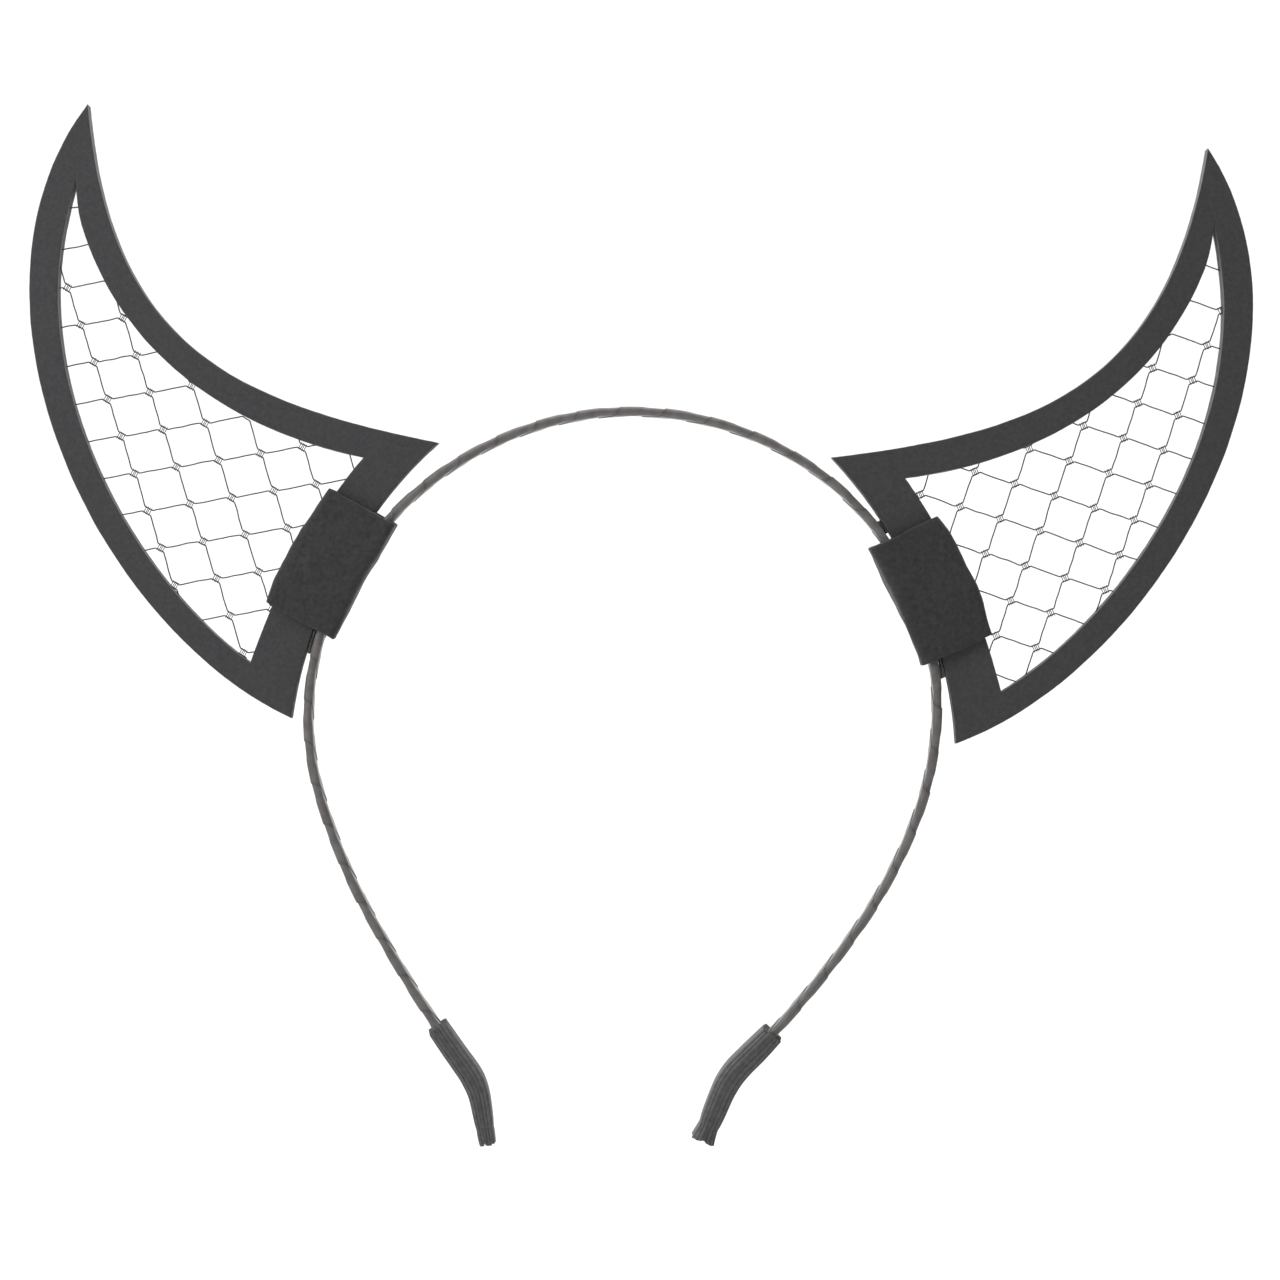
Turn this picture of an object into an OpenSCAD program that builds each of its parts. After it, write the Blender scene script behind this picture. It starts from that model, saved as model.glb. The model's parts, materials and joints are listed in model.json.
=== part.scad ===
// Devil-horn headband: two netted foam horns strapped to a ribbon-wrapped spring band.
// The origin is the head's centre under the arch. +Z points up to the crown, the front of the
// horns faces -Y, and left and right are -X and +X.

/* [Band] */
// Height of the crown above the head's centre, to the middle of the band
crown_h = 62.7; // [62.4:0.1:62.8]
// Thickness of the spring steel strip
core_t = 0.8; // [0.6:0.1:1.2]
// Width of the spring steel strip, front to back
core_w = 5; // [4:0.5:6]
// Build-up of the wound ribbon on the strip's faces
ribbon_t = 0.5; // [0.3:0.1:0.6]
// Build-up of the wound ribbon on the strip's edges
ribbon_edge_t = 0.3; // [0.2:0.1:0.5]

/* [Horns] */
// Angle of the left horn from the crown
left_horn_angle = 60.9; // [57:0.1:63]
// Angle of the right horn from the crown
right_horn_angle = 65.5; // [60:0.1:67]
// How much further out the right horn sits on the band
right_horn_lift = 0.5; // [0.4:0.1:1.5]
// Thickness of each of a horn's two foam sheets
foam_t = 2; // [1.5:0.1:2.5]

/* [Straps] */
// Width of the strap that binds a horn to the band
strap_w = 26; // [23:1:28]
// Thickness of the strap's foam sheet
strap_t = 1.4; // [1:0.1:2]

/* [Netting] */
// Thickness of a netting thread
thread_t = 0.3; // [0.25:0.05:0.5]
// Width of the little knot where the threads cross
knot_w = 1.5; // [1.2:0.1:2]

/* [Tip sleeves] */
// Length of the fabric sleeve on each end of the band
sleeve_l = 25.4; // [20:0.1:30]
// Thickness of the sleeve's fabric
sleeve_t = 1.2; // [0.8:0.1:1.6]

/* [Flexing] */
// Distance along the band from the crown to where its top flexes, on both sides
crown_flex = 20; // [16:1:24]
// Distance along the band from the crown to where the left leg flexes
left_leg_flex = 106; // [104:0.5:108]
// Distance along the band from the crown to where the right leg flexes
right_leg_flex = 111; // [110:0.5:114]
// Gap between the band's segments where it flexes
flex_gap = 0.4; // [0.3:0.1:0.6]

/* [Hidden] */
$fn = 180;

// Each half of the band runs from the crown to its tip as bends of [length, turn towards the
// head]. The crown slopes down a little to the left.
crown_slope = 1.5;
left_path = [[16, 14.5], [50.5, 43], [46, 47.5], [27, 12.5], [35.4, 7], [7, -26.5], [8.1, 0]];
right_path = [[40, 36], [56.5, 56], [23, 20.5], [23, 13.5], [37, 11.5], [7.5, -23.5], [9.5, 0]];

// The wrapped band's section, and how loosely and how far the sleeves cover its ends
band_t = core_t + 2 * ribbon_t;
band_w = core_w + 2 * ribbon_edge_t;
sleeve_slack = 0.1;
sleeve_overhang = 0.3;
// Longest straight piece that a bend is drawn with
strip_step = 1.6;

// A horn in its own frame: x towards the crown, y out from the head, the head's centre at 0.
// Its outline and its window each have three cubic curves: the outer back, the foot, and the
// hollow side, which meet at the tip, at the foot's low corner and at the foot's high corner.
horn_curves = [
    [[56.4, 153.5], [9, 160.5], [-34, 102.5], [-30.9, 58.5]],
    [[-30.9, 58.5], [-11, 66.1], [11, 66.6], [31.4, 59.6]],
    [[31.4, 59.6], [18.4, 100], [16.8, 127], [56.4, 153.5]]
];
window_curves = [
    [[39.6, 147.4], [5.3, 141], [-21.2, 103.6], [-25.2, 71]],
    [[-25.2, 71], [-9, 73.9], [8, 74.1], [21.6, 71.2]],
    [[21.6, 71.2], [12.9, 98.5], [16.2, 127.8], [39.6, 147.4]]
];
curve_steps = [36, 20, 28];

// Netting as [a knot's place, step along one thread, step along the other], in the horn's frame
left_net = [[22.5, 139.6], [-5.2, -5.95], [5.25, -6.7]];
right_net = [[20.5, 138.15], [-5.15, -5.55], [5.5, -6.25]];
// Steps to the first and last thread, and the length that crosses the widest part
first_thread = -5;
last_thread = 12;
thread_l = 200;
// How far each net reaches from the window's edge, 0, to the horn's, 1. No loose end is left.
left_net_hold = 0.26;
right_net_hold = 0.55;

// The strap's pocket holds the band at its inner end and the horn's foot at its outer end.
pocket_in_r = 60.6;
pocket_waist_in_r = 64.4;
pocket_waist_out_r = 67;
pocket_out_r = 74;
pocket_clearance = 0.05;

// A glue bead fills the wedge between band and horn beside the strap, front to back.
glue_w = 3.4;
glue_clearance = 0.02;
lower_glue_l = 5;
upper_glue_l = 3;

foam_color = [0.17, 0.17, 0.18];
strap_color = [0.12, 0.12, 0.12];
ribbon_color = [0.36, 0.35, 0.34];
sleeve_color = [0.22, 0.22, 0.22];
steel_color = [0.7, 0.7, 0.72];
net_color = [0.1, 0.1, 0.1];
glue_color = [0.8, 0.8, 0.77];

function path_length(path, i = 0) = i == len(path) ? 0 : path[i][0] + path_length(path, i + 1);

// Points of a cubic curve, without its last one
function curve(p, steps) = [
    for (i = [0 : steps - 1])
        let (t = i / steps, u = 1 - t)
        u^3 * p[0] + 3 * t * u^2 * p[1] + 3 * t^2 * u * p[2] + t^3 * p[3]
];

// A closed outline that lies part of the way from the window's edge, 0, to the horn's, 1
function horn_outline(part) = [
    for (i = [0 : 2])
        each curve(window_curves[i] * (1 - part) + horn_curves[i] * part, curve_steps[i])
];

// A closed outline from the points of its upper half
function both_halves(points) = concat(
    points,
    [for (i = [len(points) - 1 : -1 : 0]) [points[i][0], -points[i][1]]]
);

// Where a bend ends, as [x, y, heading], when it starts at such a place. The plane is the
// band's own: x to the right and y up. Heading 0 is level, towards the left. The right half
// is drawn as a left half and mirrored.
function past_bend(at, length, turn) =
    let (
        chord = turn == 0 ? length : 360 / PI * length / turn * sin(turn / 2),
        course = at[2] + turn / 2
    )
    [at[0] - chord * cos(course), at[1] - chord * sin(course), at[2] + turn];

// The place and heading at a distance along a path
function along(at, path, distance, i = 0) =
    let (
        length = i == len(path) - 1 ? distance : min(distance, path[i][0]),
        next = past_bend(at, length, path[i][1] * length / path[i][0])
    )
    length == distance ? next : along(next, path, distance - length, i + 1);

// Points beside a path, between two distances along it, shifted out from the head
function beside(start, path, from, to, shift) =
    let (steps = ceil((to - from) / strip_step))
    [
        for (i = [0 : steps])
            let (at = along(start, path, from + (to - from) * i / steps))
            [at[0] - shift * sin(at[2]), at[1] + shift * cos(at[2])]
    ];

function reversed(points) = [for (i = [len(points) - 1 : -1 : 0]) points[i]];

// The outline of a strip of the band, between two distances from the crown
module band_outline(start, path, from, to, thickness) {
    polygon(concat(
        beside(start, path, from, to, thickness / 2),
        reversed(beside(start, path, from, to, -thickness / 2))
    ));
}

module left_outline(from, to, thickness) {
    band_outline([0, crown_h, crown_slope], left_path, from, to, thickness);
}

module right_outline(from, to, thickness) {
    band_outline([0, crown_h, -crown_slope], right_path, from, to, thickness);
}

// Stands a drawing in the band's plane upright, with its +z towards the front
module left_side() {
    rotate([90, 0, 0])
        children();
}

module right_side() {
    mirror([1, 0, 0])
        left_side()
            children();
}

module left_strip(from, to, thickness, width) {
    left_side()
        linear_extrude(width, center = true)
            left_outline(from, to, thickness);
}

module right_strip(from, to, thickness, width) {
    right_side()
        linear_extrude(width, center = true)
            right_outline(from, to, thickness);
}

// The band's five segments, as strips of any section along the same middle line

module crown_segment(thickness, width) {
    left_strip(0, crown_flex - flex_gap / 2, thickness, width);
    right_strip(0, crown_flex - flex_gap / 2, thickness, width);
}

module left_shoulder_segment(thickness, width) {
    left_strip(crown_flex + flex_gap / 2, left_leg_flex - flex_gap / 2, thickness, width);
}

module right_shoulder_segment(thickness, width) {
    right_strip(crown_flex + flex_gap / 2, right_leg_flex - flex_gap / 2, thickness, width);
}

module left_leg_segment(thickness, width) {
    left_strip(left_leg_flex + flex_gap / 2, path_length(left_path), thickness, width);
}

module right_leg_segment(thickness, width) {
    right_strip(right_leg_flex + flex_gap / 2, path_length(right_path), thickness, width);
}

module crown_core() {
    color(steel_color)
        crown_segment(core_t, core_w);
}

module left_shoulder_core() {
    color(steel_color)
        left_shoulder_segment(core_t, core_w);
}

module left_leg_core() {
    color(steel_color)
        left_leg_segment(core_t, core_w);
}

module right_shoulder_core() {
    color(steel_color)
        right_shoulder_segment(core_t, core_w);
}

module right_leg_core() {
    color(steel_color)
        right_leg_segment(core_t, core_w);
}

// The wound ribbon is a close tube round the steel.

module crown_ribbon() {
    color(ribbon_color)
        difference() {
            crown_segment(band_t, band_w);
            crown_segment(core_t, core_w);
        }
}

module left_shoulder_ribbon() {
    color(ribbon_color)
        difference() {
            left_shoulder_segment(band_t, band_w);
            left_shoulder_segment(core_t, core_w);
        }
}

module left_leg_ribbon() {
    color(ribbon_color)
        difference() {
            left_leg_segment(band_t, band_w);
            left_leg_segment(core_t, core_w);
        }
}

module right_shoulder_ribbon() {
    color(ribbon_color)
        difference() {
            right_shoulder_segment(band_t, band_w);
            right_shoulder_segment(core_t, core_w);
        }
}

module right_leg_ribbon() {
    color(ribbon_color)
        difference() {
            right_leg_segment(band_t, band_w);
            right_leg_segment(core_t, core_w);
        }
}

// A fabric tube covers the end of each leg and reaches just past the band.

module left_tip_sleeve() {
    end = path_length(left_path) + sleeve_overhang;
    color(sleeve_color)
        difference() {
            left_strip(end - sleeve_l, end, band_t + 2 * sleeve_t, band_w + 2 * sleeve_t);
            left_strip(end - sleeve_l, end, band_t + sleeve_slack, band_w + sleeve_slack);
        }
}

module right_tip_sleeve() {
    end = path_length(right_path) + sleeve_overhang;
    color(sleeve_color)
        difference() {
            right_strip(end - sleeve_l, end, band_t + 2 * sleeve_t, band_w + 2 * sleeve_t);
            right_strip(end - sleeve_l, end, band_t + sleeve_slack, band_w + sleeve_slack);
        }
}

// Sets a horn's own frame on the band, in the band's plane

module on_left() {
    rotate(left_horn_angle)
        children();
}

module on_right() {
    rotate(right_horn_angle)
        translate([0, right_horn_lift])
            children();
}

module foam_sheet() {
    color(foam_color)
        linear_extrude(foam_t)
            difference() {
                polygon(horn_outline(1));
                polygon(horn_outline(0));
            }
}

module front_sheet() {
    translate([0, 0, thread_t / 2])
        foam_sheet();
}

module back_sheet() {
    translate([0, 0, -thread_t / 2 - foam_t])
        foam_sheet();
}

// Parallel threads along one step, which repeat at the other
module threads(start, along, repeat) {
    for (i = [first_thread : last_thread])
        translate(start + i * repeat)
            rotate(atan2(along[1], along[0]))
                square([thread_l, thread_t], center = true);
}

module knots(net) {
    for (i = [first_thread : last_thread], j = [first_thread : last_thread])
        translate(net[0] + i * net[1] + j * net[2])
            square(knot_w, center = true);
}

// A net of crossed threads, whose edge is held between the foam sheets.
// It is cut away where the strap passes through the window.
module netting(net, hold) {
    color(net_color)
        translate([0, 0, -thread_t / 2])
            linear_extrude(thread_t)
                difference() {
                    intersection() {
                        polygon(horn_outline(hold));
                        union() {
                            threads(net[0], net[1], net[2]);
                            threads(net[0], net[2], net[1]);
                            knots(net);
                        }
                    }
                    intersection() {
                        circle(pocket_out_r + strap_t + pocket_clearance);
                        square([strap_w + 2 * pocket_clearance, 4 * pocket_out_r], center = true);
                    }
                }
}

// A strap of foam sheet closed round the band and the horn's foot. Its sides are parallel.
module strap() {
    band_half = band_w / 2 + pocket_clearance;
    horn_half = foam_t + thread_t / 2 + pocket_clearance;
    corner = strap_t * 0.6;
    half_sweep = 16;
    color(strap_color)
        intersection() {
            rotate(90 - half_sweep)
                rotate_extrude(angle = 2 * half_sweep)
                    difference() {
                        polygon(both_halves([
                            [pocket_in_r - strap_t, band_half + strap_t - corner],
                            [pocket_in_r - strap_t + corner, band_half + strap_t],
                            [pocket_waist_in_r, band_half + strap_t],
                            [pocket_waist_out_r, horn_half + strap_t],
                            [pocket_out_r + strap_t - corner, horn_half + strap_t],
                            [pocket_out_r + strap_t, horn_half + strap_t - corner]
                        ]));
                        polygon(both_halves([
                            [pocket_in_r, band_half],
                            [pocket_waist_in_r, band_half],
                            [pocket_waist_out_r, horn_half],
                            [pocket_out_r, horn_half]
                        ]));
                    }
            cube([strap_w, 4 * pocket_out_r, 4 * core_w], center = true);
        }
}

// A bead's outline in the horn's frame: from the strap's side, up to the horn's foot
module bead_outline(from, to) {
    difference() {
        translate([min(from, to), pocket_in_r - strap_t])
            square([abs(to - from), 2 * strap_t + pocket_waist_out_r - pocket_in_r]);
        polygon(horn_outline(1));
    }
}

module lower_bead() {
    bead_outline(-strap_w / 2 - glue_clearance, -strap_w / 2 - lower_glue_l);
}

module upper_bead() {
    bead_outline(strap_w / 2 + glue_clearance, strap_w / 2 + upper_glue_l);
}

// The area from the head's centre out to the band's outer face
module within_band(start, path, to) {
    polygon(concat([[0, 0]], beside(start, path, 0, to, band_t / 2 + glue_clearance)));
}

// Glue fills the wedge between the band and the horn's foot.

module left_lower_glue() {
    color(glue_color)
        left_side()
            linear_extrude(glue_w, center = true)
                difference() {
                    on_left() lower_bead();
                    within_band([0, crown_h, crown_slope], left_path, left_leg_flex);
                }
}

module right_lower_glue() {
    color(glue_color)
        right_side()
            linear_extrude(glue_w, center = true)
                difference() {
                    on_right() lower_bead();
                    within_band([0, crown_h, -crown_slope], right_path, right_leg_flex);
                }
}

module right_upper_glue() {
    color(glue_color)
        right_side()
            linear_extrude(glue_w, center = true)
                difference() {
                    on_right() upper_bead();
                    within_band([0, crown_h, -crown_slope], right_path, right_leg_flex);
                }
}

module left_horn_front() { left_side() on_left() front_sheet(); }
module left_horn_back() { left_side() on_left() back_sheet(); }
module left_netting() { left_side() on_left() netting(left_net, left_net_hold); }
module left_strap() { left_side() on_left() strap(); }
module right_horn_front() { right_side() on_right() front_sheet(); }
module right_horn_back() { right_side() on_right() back_sheet(); }
module right_netting() { right_side() on_right() netting(right_net, right_net_hold); }
module right_strap() { right_side() on_right() strap(); }

crown_core();
left_shoulder_core();
left_leg_core();
right_shoulder_core();
right_leg_core();
crown_ribbon();
left_shoulder_ribbon();
left_leg_ribbon();
right_shoulder_ribbon();
right_leg_ribbon();
left_tip_sleeve();
right_tip_sleeve();
left_horn_front();
left_horn_back();
left_netting();
left_strap();
right_horn_front();
right_horn_back();
right_netting();
right_strap();
left_lower_glue();
right_lower_glue();
right_upper_glue();
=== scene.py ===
"""Looks of the devil-horn headband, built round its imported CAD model. All lengths are in metres."""

import itertools
import json
import math

import bmesh
import bpy
import numpy as np
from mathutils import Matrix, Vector, noise


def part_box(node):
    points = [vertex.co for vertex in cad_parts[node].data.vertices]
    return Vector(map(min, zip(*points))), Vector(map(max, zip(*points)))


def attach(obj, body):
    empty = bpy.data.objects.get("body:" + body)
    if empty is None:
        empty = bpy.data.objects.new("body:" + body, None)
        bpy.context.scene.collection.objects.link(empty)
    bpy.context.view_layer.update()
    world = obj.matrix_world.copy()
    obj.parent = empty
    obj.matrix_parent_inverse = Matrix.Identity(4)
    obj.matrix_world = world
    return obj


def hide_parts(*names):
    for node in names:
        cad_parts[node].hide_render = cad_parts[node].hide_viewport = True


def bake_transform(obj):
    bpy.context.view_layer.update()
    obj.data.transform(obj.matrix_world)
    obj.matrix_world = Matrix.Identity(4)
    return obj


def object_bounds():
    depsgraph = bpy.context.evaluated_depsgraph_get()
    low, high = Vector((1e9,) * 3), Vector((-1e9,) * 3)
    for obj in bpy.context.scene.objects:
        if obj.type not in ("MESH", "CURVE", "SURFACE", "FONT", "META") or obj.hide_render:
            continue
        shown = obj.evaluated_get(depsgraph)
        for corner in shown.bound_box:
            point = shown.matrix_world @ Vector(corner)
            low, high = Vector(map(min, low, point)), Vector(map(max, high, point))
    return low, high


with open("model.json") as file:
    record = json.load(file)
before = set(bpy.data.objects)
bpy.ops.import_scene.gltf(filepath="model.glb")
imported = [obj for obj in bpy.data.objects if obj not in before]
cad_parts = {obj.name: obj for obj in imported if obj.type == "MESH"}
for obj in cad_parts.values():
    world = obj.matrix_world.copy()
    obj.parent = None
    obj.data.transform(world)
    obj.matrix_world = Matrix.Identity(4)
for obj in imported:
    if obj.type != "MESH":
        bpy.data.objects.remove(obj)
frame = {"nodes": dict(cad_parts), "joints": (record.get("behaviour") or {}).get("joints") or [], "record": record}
cad_low, cad_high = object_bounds()

MM = 0.001
SIDES = ("left", "right")

# Foam sheets of the horns
SHEET_ROUNDING = 0.28 * MM
SHEET_ACROSS = 16  # points across a sheet's border
COLUMNS = (230, 110, 170)  # points along the outer back, the foot and the hollow side
EVENNESS = 0.45  # how even those points' distances are, from 0 to 1
OVERCUT = 2.6 * MM  # how much more of the border is cut away at the window's tip than in CAD
OVERCUT_W = 7 * MM  # the distance from the tip over which that falls to nothing
PRESSED = 0.12 * MM  # how far each sheet closes over the netting, towards the other one
UNDULATION = 0.28 * MM
UNDULATION_SIZE = 28 * MM
SHEET_ROUGHNESS = ((0.035, 0.9), (0.05, 5))  # (amount, size) of its nap and dents, in mm

# Netting, measured from the window's tip: the nearest knot and the two steps of the mesh, as
# (towards the crown, out from the head) in mm
NETS = {
    "left": ((-17.1, -7.8), (-5.2, -5.95), (5.25, -6.7)),
    "right": ((-18.9, -10.05), (-5.15, -5.55), (5.5, -6.25)),
}
NET_REACH = 16  # meshes laid out each way from that knot, before the net is cut
NET_HOLD = 0.42  # how far the threads reach from the window's edge, 0, to the horn's, 1
KNOT_HOLD = 0.03  # the same for the knots' ladders
NET_TUCK = 0.3 * MM  # how far the net reaches in under the strap's sides
THREAD_R = 0.13 * MM
THREAD_WAVE = 0.12 * MM
THREAD_WAVE_SIZE = 2.2 * MM

# A knot's ladder: two threads pass as rails, and rungs tie them
RAIL_L = 1.7 * MM
RAIL_GAP = 1.2 * MM
RAIL_ENDS = 0.4  # how far a rail's ends are from the knot's middle, as a share of the gap
RAIL_LEAD = 0.6 * MM  # length of thread over which it bends into a rail
RUNGS = 4
RUNG_L = 1.6 * MM
RUNG_R = 0.085 * MM
RUNG_SPREAD = 0.85  # share of the rails' length that the rungs take up
RUNG_SLANT = 0.12  # how far a rung's end may slant along the rails, in lengths of the rung
RUNG_PRESSED = 0.9  # how far a rung lies off the rails' middle, where 1 is touching them

# Straps, as (out from the head, back from the middle) of half the loop's outside, in mm
STRAP_W = 26 * MM
STRAP_T = 1.35 * MM
STRAP_HALF = ((59.2, 4.2), (67.0, 4.1), (75.3, 3.75))
STRAP_ROUNDING = (1.8, 4, 1.6)  # how far from each of those corners its curve starts, in mm
STRAP_EDGE = 0.3 * MM
STRAP_SHIFT = {"left": (0, 0), "right": (-1.15, 0.55)}  # towards the crown and out, in mm
STRAP_SEAM = 0.12 * MM  # the gap between its ends
STRAP_SEAM_AT = 0.93  # where they meet at the back, as a share of its distance from the head
STRAP_SAG = (0.5, 1.2)  # how far its inner and outer edge fall back at the strap's sides, in mm
STRAP_POINTS = (110, 40)  # round the loop and across it
STRAP_ROUGHNESS = ((0.52, 9), (0.12, 2.6), (0.035, 0.9))  # (amount, size) in mm

# The band: its ribbon winding and the steel strip inside
BAND_STEP = 1.6 * MM
BAND_POINTS = 2400
RIBBON_W = 10 * MM
RIBBON_T = 0.13 * MM
RIBBON_PITCH = 8.6 * MM
RIBBON_SECTION = (0.67, 2.48, 0.58)  # half out, half back and corner radius inside it, in mm
RIBBON_EDGE = 0.02 * MM
RIBBON_ACROSS = 14  # points across its width
RIBBON_LIFT = 1.08  # how far a turn is raised over the last one's edge, in thicknesses
RIBBON_FALL = (0.03, 0.12)  # where past that edge it falls, and over how much, in widths
RIBBON_DRIFT = 0.3 * MM
RIBBON_DRIFT_SIZE = 11 * MM
RIBBON_BULGE = 0.05 * MM
RIBBON_BULGE_SIZE = 2.6 * MM
RIBBON_TUCK = 0.62  # how far from the band's tip the winding's middle line ends, in widths
EDGE_SHADE = 0.55  # painted shade: how much darker the ribbon is along the edge of each turn that lies over the last one
EDGE_SHADE_W = 0.3 * MM
STEEL_SECTION = (0.4, 2.5, 0.3)  # the same for the strip
STEEL_STEP = 1.2 * MM

# Sleeves, as (share of the length from the top, half the thickness seen from the front in mm)
SLEEVES = {
    "left": ((0, 2.05), (0.1, 2.1), (0.5, 2.2), (0.85, 1.8), (1, 1.55)),
    "right": ((0, 2.2), (0.2, 2.4), (0.55, 2.4), (0.9, 2.05), (0.94, 2.1), (1, 2.35)),
}
SLEEVE_L = 25.4 * MM
SLEEVE_OVERHANG = 0.3 * MM  # how far it reaches past the band's tip
SLEEVE_SECTION = (1.9, 3.9, 1.5)  # half out, half back and corner radius in mm, then scaled
SLEEVE_HOLLOW = (1.06, 2.92, 0.9)  # the same for its inside, which isn't scaled
SLEEVE_DEEPER = 1.9  # how much more its half depth is, front to back, in mm
SLEEVE_FULLNESS = 1.016  # the scale of its depth on top of that
SLEEVE_POINTS = {"per_corner": 26, "per_side": 16}
SLEEVE_ROWS = 64
PINCH = ((0, 0.95, 1), (1, 1, 0.62))  # shares of the length, and how open the hollow is there
FRAY = (0.95 * MM, 42)  # how far single threads stand out of a cut end, and how many waves round
NOTCH = (0.9 * MM, 13)  # the same for tufts of them
LOWER_FRAY = 0.6  # how frayed the lower end is, against the upper one
RIB_W = 0.72 * MM
RIB_H = 0.26 * MM
RIB_ROUNDNESS = 0.6  # 1 is a sine's hump, and less is flatter with a sharper groove
RIB_WAVER = 0.5  # how far the ribs' distances vary, in radians
CREASE = 0.12 * MM  # depth of a crease round the sleeve
CREASE_AT = 0.88  # as shares of the length
CREASE_W = 1 / 30
WRINKLE = 0.06 * MM
WRINKLES = 6  # along the sleeve
RUBBED = 0.16 * MM  # how far the front of its head side stands out, where it is rubbed
RUBBED_TO = 0.4  # how far round to the back that goes, from 0 to 1
DULL_TONE = 0.75
RUBBED_TONE = 0.5
RIB_LIT = 0.8  # share of a rib's height above which it isn't shaded

# Glue beads
GLUE_VOXEL = 0.22 * MM
GLUE_SMOOTHING = (9, 0.6)  # times, and how much each time
GLUE_LUMPS = 0.12 * MM
GLUE_LUMP_SIZE = 2 * MM

# Stage and camera
SWEEP_W = 5.2
SWEEP_FRONT = -2.5
SWEEP_BACK = 0.5  # where the floor starts to curve up
SWEEP_RADIUS = 0.5
SWEEP_STEPS = 24
SWEEP_BELOW = 0.16  # from the tips down to the floor
SWEEP_H = 3
VIEW_DISTANCE = 0.7
VIEW_W = 0.256
VIEW_OFFSET = (-0.2 * MM, -3 * MM)  # the view's middle, right of and above the object's middle

# Half the length of band on each side of a flex, the stretch bend_band finds; the band isn't bent there
BENDS = {"crown": 19.5 * MM, "leg": 24 * MM}

# Seed of the noise that roughens foam, threads and glue
NOISE_SEED = 5


# ---- Lines and outlines in the band's plane, as arrays of (x, z) ----


def front_outlines(node):
    """The closed outlines of a flat CAD node's front face, the longest first."""
    mesh = frame["nodes"][node].data
    front = min(v.co.y for v in mesh.vertices)
    on_front = {
        v.index: (round(v.co.x, 7), round(v.co.z, 7))
        for v in mesh.vertices
        if v.co.y < front + 1e-6
    }
    edges = set()
    for polygon in mesh.polygons:
        corners = list(polygon.vertices)
        if all(c in on_front for c in corners):
            for a, b in zip(corners, corners[1:] + corners[:1]):
                edges.add((on_front[a], on_front[b]))
    after = {a: b for a, b in edges if (b, a) not in edges}
    loops = []
    while after:
        point = min(after)
        loop = []
        while point in after:
            loop.append(point)
            point = after.pop(point)
        loops.append(np.array(loop))
    return sorted(loops, key=lambda loop: -lengths(loop)[-1])


def finer(points, per_step=8):
    """A smooth line through points, by Catmull-Rom curves."""
    p = np.vstack([2 * points[0] - points[1], points, 2 * points[-1] - points[-2]])
    t = (np.arange(per_step) / per_step)[:, None]
    pieces = [
        b + 0.5 * ((c - a) * t + (2 * a - 5 * b + 4 * c - d) * t**2 + (3 * b - a - 3 * c + d) * t**3)
        for a, b, c, d in zip(p, p[1:], p[2:], p[3:])
    ]
    return np.vstack([*pieces, points[-1:]])


def unit(vectors):
    """Vectors of length 1 that point the same way."""
    return vectors / np.linalg.norm(vectors, axis=-1, keepdims=True)


def lengths(points):
    """The distance along a line at each of its points."""
    steps = np.linalg.norm(np.diff(points, axis=0), axis=1)
    return np.concatenate([[0], np.cumsum(steps)])


def along(points, shares):
    """Points at shares of a line's length."""
    at = lengths(points)
    where = np.asarray(shares) * at[-1]
    return np.column_stack([np.interp(where, at, points[:, k]) for k in range(points.shape[1])])


def sharpest(loop, count):
    """Where a closed outline's sharpest corners are, in order."""
    before = loop - np.roll(loop, 1, axis=0)
    after = np.roll(loop, -1, axis=0) - loop
    cosine = (before * after).sum(axis=1)
    cosine /= np.linalg.norm(before, axis=1) * np.linalg.norm(after, axis=1)
    return sorted(np.argsort(cosine)[:count])


def horn_stretches(loop):
    """A horn's outline cut at its corners, from the tip on: outer back, foot and hollow side."""
    corners = sharpest(loop, 3)
    tip = max(corners, key=lambda c: np.linalg.norm(loop[c]))
    loop = np.roll(loop, -tip, axis=0)
    first, second = (c for c in sharpest(loop, 3) if c)
    if loop[first][1] > loop[second][1]:
        loop = np.roll(loop[::-1], 1, axis=0)
        first, second = len(loop) - second, len(loop) - first
    closed = np.vstack([loop, loop[:1]])
    cuts = (0, first, second, len(loop))
    return [finer(closed[a : b + 1]) for a, b in zip(cuts, cuts[1:])]


def closer_at_ends(count):
    """Shares from 0 to nearly 1 that lie closer together near both ends."""
    k = np.arange(count) / count
    return EVENNESS * k + (1 - EVENNESS) * (1 - np.cos(np.pi * k)) / 2


def horn_ring(loop):
    """Points all round a horn's outline, the same number on each."""
    parts = zip(horn_stretches(loop), COLUMNS)
    return np.vstack([along(points, closer_at_ends(count)) for points, count in parts])


def inside(points, outline):
    """Which points lie in a closed outline."""
    x, z = points[:, :1], points[:, 1:]
    a, b = outline, np.roll(outline, -1, axis=0)
    spans = (a[:, 1] > z) != (b[:, 1] > z)
    rise = np.where(b[:, 1] == a[:, 1], 1e-12, b[:, 1] - a[:, 1])
    crossing = a[:, 0] + (z - a[:, 1]) * (b[:, 0] - a[:, 0]) / rise
    return (spans & (x < crossing)).sum(axis=1) % 2 == 1


def strip_middle(node):
    """The middle line of a strip seen from its edge, from its end nearer the left tip on."""
    loop = front_outlines(node)[0]
    loop = np.roll(loop, -sharpest(loop, 4)[0], axis=0)
    cuts = [*sharpest(loop, 4), len(loop)]
    closed = np.vstack([loop, loop[:1]])
    sides = [closed[a : b + 1] for a, b in zip(cuts, cuts[1:])]
    one, other = sorted(sides, key=lambda side: -lengths(side)[-1])[:2]
    shares = np.linspace(0, 1, max(2, round(lengths(one)[-1] / BAND_STEP)))
    middle = (along(one, shares) + along(other[::-1], shares)) / 2
    turn = np.arctan2(-middle[:, 0], -middle[:, 1]) % (2 * math.pi)
    return middle if turn[0] < turn[-1] else middle[::-1]


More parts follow.
